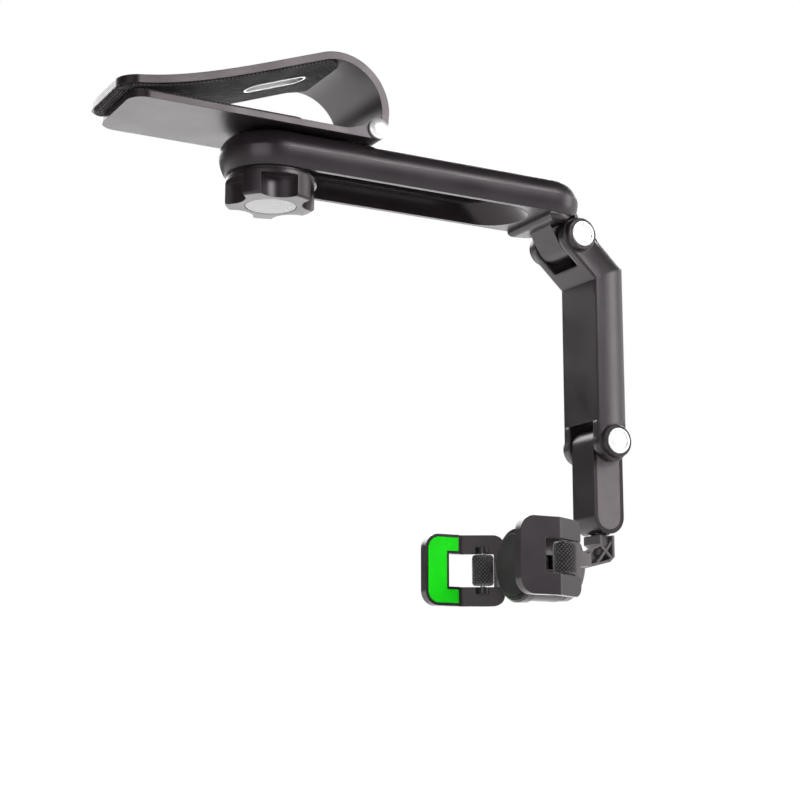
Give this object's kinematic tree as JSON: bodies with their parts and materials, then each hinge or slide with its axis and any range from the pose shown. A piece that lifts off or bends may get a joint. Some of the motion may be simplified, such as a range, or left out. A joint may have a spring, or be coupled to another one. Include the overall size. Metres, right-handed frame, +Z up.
{
  "type": "car phone mount",
  "caption": "Sun-visor phone mount: a sprung clip, a sliding clamped arm, a folding lower arm and a swivelling holder with green-padded sprung jaws.",
  "frame": {"origin": "centre of the visor clip's lower grip pad, on its top face", "axes": "+X along the long arm from the clip's mouth to the upper hinge, +Y across the arm, +Z up; drawn hanging from a level visor"},
  "size_m": [0.2405, 0.0794, 0.2157],
  "materials": {
    "satin_black_plastic": "satin, softly rounded highlights",
    "grey_plastic": "satin dark grey",
    "black_rubber": "matt, finely textured",
    "green_rubber": "matt bright green",
    "bright_chrome": "polished",
    "silver_lacquer": "bright lacquered plastic",
    "steel": "plain turned steel",
    "nylon_washer": "plain"
  },
  "bodies": {
    "clip": {"clip_lower_plate": "satin_black_plastic", "lower_grip_pad": "black_rubber", "clip_hinge_pin": "bright_chrome", "clip_pin_end_cap": "bright_chrome", "clip_torsion_spring": "steel", "pivot_bolt": "steel", "swivel_washer": "nylon_washer"},
    "clip_jaw": {"clip_upper_jaw": "satin_black_plastic", "jaw_slot_trim": "bright_chrome", "upper_grip_pad": "black_rubber"},
    "carriage": {"slide_block": "grey_plastic", "knob_thrust_washer": "nylon_washer"},
    "knob": {"clamp_knob": "satin_black_plastic", "knob_cap": "silver_lacquer", "knob_nut_insert": "steel"},
    "long_arm": {"arm_shell": "satin_black_plastic", "arm_slot_liner": "satin_black_plastic", "arm_end_tongue": "satin_black_plastic", "tongue_pin": "steel"},
    "lower_arm": {"lower_arm_shell": "satin_black_plastic", "lower_arm_front_cover": "satin_black_plastic", "upper_hinge_pin": "steel", "lower_hinge_pin": "steel", "upper_hinge_caps": "bright_chrome", "lower_hinge_caps": "bright_chrome", "upper_hinge_washers": "nylon_washer", "lower_hinge_washers": "nylon_washer"},
    "link": {"drop_link": "satin_black_plastic", "drop_link_side_covers": "grey_plastic", "swivel_stud": "steel"},
    "bracket": {"holder_bracket": "grey_plastic", "swivel_friction_washer": "nylon_washer", "roll_stud": "steel", "roll_friction_washer": "nylon_washer"},
    "holder": {"holder_housing": "satin_black_plastic", "holder_front_plate": "satin_black_plastic", "phone_rest_pad": "black_rubber", "pinion_pin": "steel", "jaw_torsion_spring": "steel"},
    "pinion": {"rack_pinion": "grey_plastic"},
    "right_jaw_slide_body": {"right_slide_bar": "grey_plastic", "right_jaw": "satin_black_plastic", "right_jaw_pad": "green_rubber", "right_roller_pin": "steel"},
    "left_jaw_slide_body": {"left_slide_bar": "grey_plastic", "left_jaw": "satin_black_plastic", "left_jaw_pad": "green_rubber", "left_roller_pin": "steel"},
    "right_roller": {"right_grip_roller": "black_rubber"},
    "left_roller": {"left_grip_roller": "black_rubber"}
  },
  "joints": [
    {"name": "clip_open", "type": "hinge", "parent": "clip", "child": "clip_jaw", "pos_m": [0.0563, 0, 0.0006], "axis": [0, 1, 0], "range_deg": [0, 25], "stiffness_Nm_per_rad": 0.5, "springref_deg": -17.19},
    {"name": "arm_swivel", "type": "hinge", "parent": "clip", "child": "carriage", "pos_m": [0.0187, 0, -0.01], "axis": [0, 0, 1], "continuous": true},
    {"name": "knob_turn", "type": "hinge", "parent": "carriage", "child": "knob", "pos_m": [0.0187, 0, -0.0266], "axis": [0, 0, 1], "continuous": true},
    {"name": "arm_slide", "type": "slide", "parent": "carriage", "child": "long_arm", "axis": [1, 0, 0], "range_m": [-0.092, 0]},
    {"name": "upper_hinge", "type": "hinge", "parent": "long_arm", "child": "lower_arm", "pos_m": [0.1588, 0, -0.0273], "axis": [0, -1, 0], "range_deg": [-30, 42]},
    {"name": "lower_hinge", "type": "hinge", "parent": "lower_arm", "child": "link", "pos_m": [0.175, 0, -0.1165], "axis": [0, -1, 0], "range_deg": [-60, 60]},
    {"name": "bracket_swivel", "type": "hinge", "parent": "link", "child": "bracket", "pos_m": [0.175, 0, -0.16], "axis": [0, 0, 1], "continuous": true},
    {"name": "holder_roll", "type": "hinge", "parent": "bracket", "child": "holder", "pos_m": [0.1558, 0, -0.1698], "axis": [1, 0, 0], "continuous": true},
    {"name": "right_jaw_slide", "type": "slide", "parent": "holder", "child": "right_jaw_slide_body", "axis": [0, -1, 0], "range_m": [-0.004, 0.009], "stiffness_N_per_m": 150, "springref_m": -0.02},
    {"name": "left_jaw_slide", "type": "slide", "parent": "holder", "child": "left_jaw_slide_body", "axis": [0, 1, 0], "range_m": [-0.004, 0.009]},
    {"name": "pinion_turn", "type": "hinge", "parent": "holder", "child": "pinion", "pos_m": [0.1435, 0, -0.1698], "axis": [0, 0, 1], "range_deg": [-172, 77]},
    {"name": "right_roller_spin", "type": "hinge", "parent": "right_jaw_slide_body", "child": "right_roller", "pos_m": [0.1357, -0.0314, -0.1698], "axis": [0, 0, 1], "continuous": true},
    {"name": "left_roller_spin", "type": "hinge", "parent": "left_jaw_slide_body", "child": "left_roller", "pos_m": [0.1357, 0.0314, -0.1698], "axis": [0, 0, 1], "continuous": true}
  ],
  "couplings": [
    {"joint": "left_jaw_slide", "follows": "right_jaw_slide", "ratio": 1},
    {"joint": "pinion_turn", "follows": "right_jaw_slide", "rad_per_m": -333.33}
  ]
}
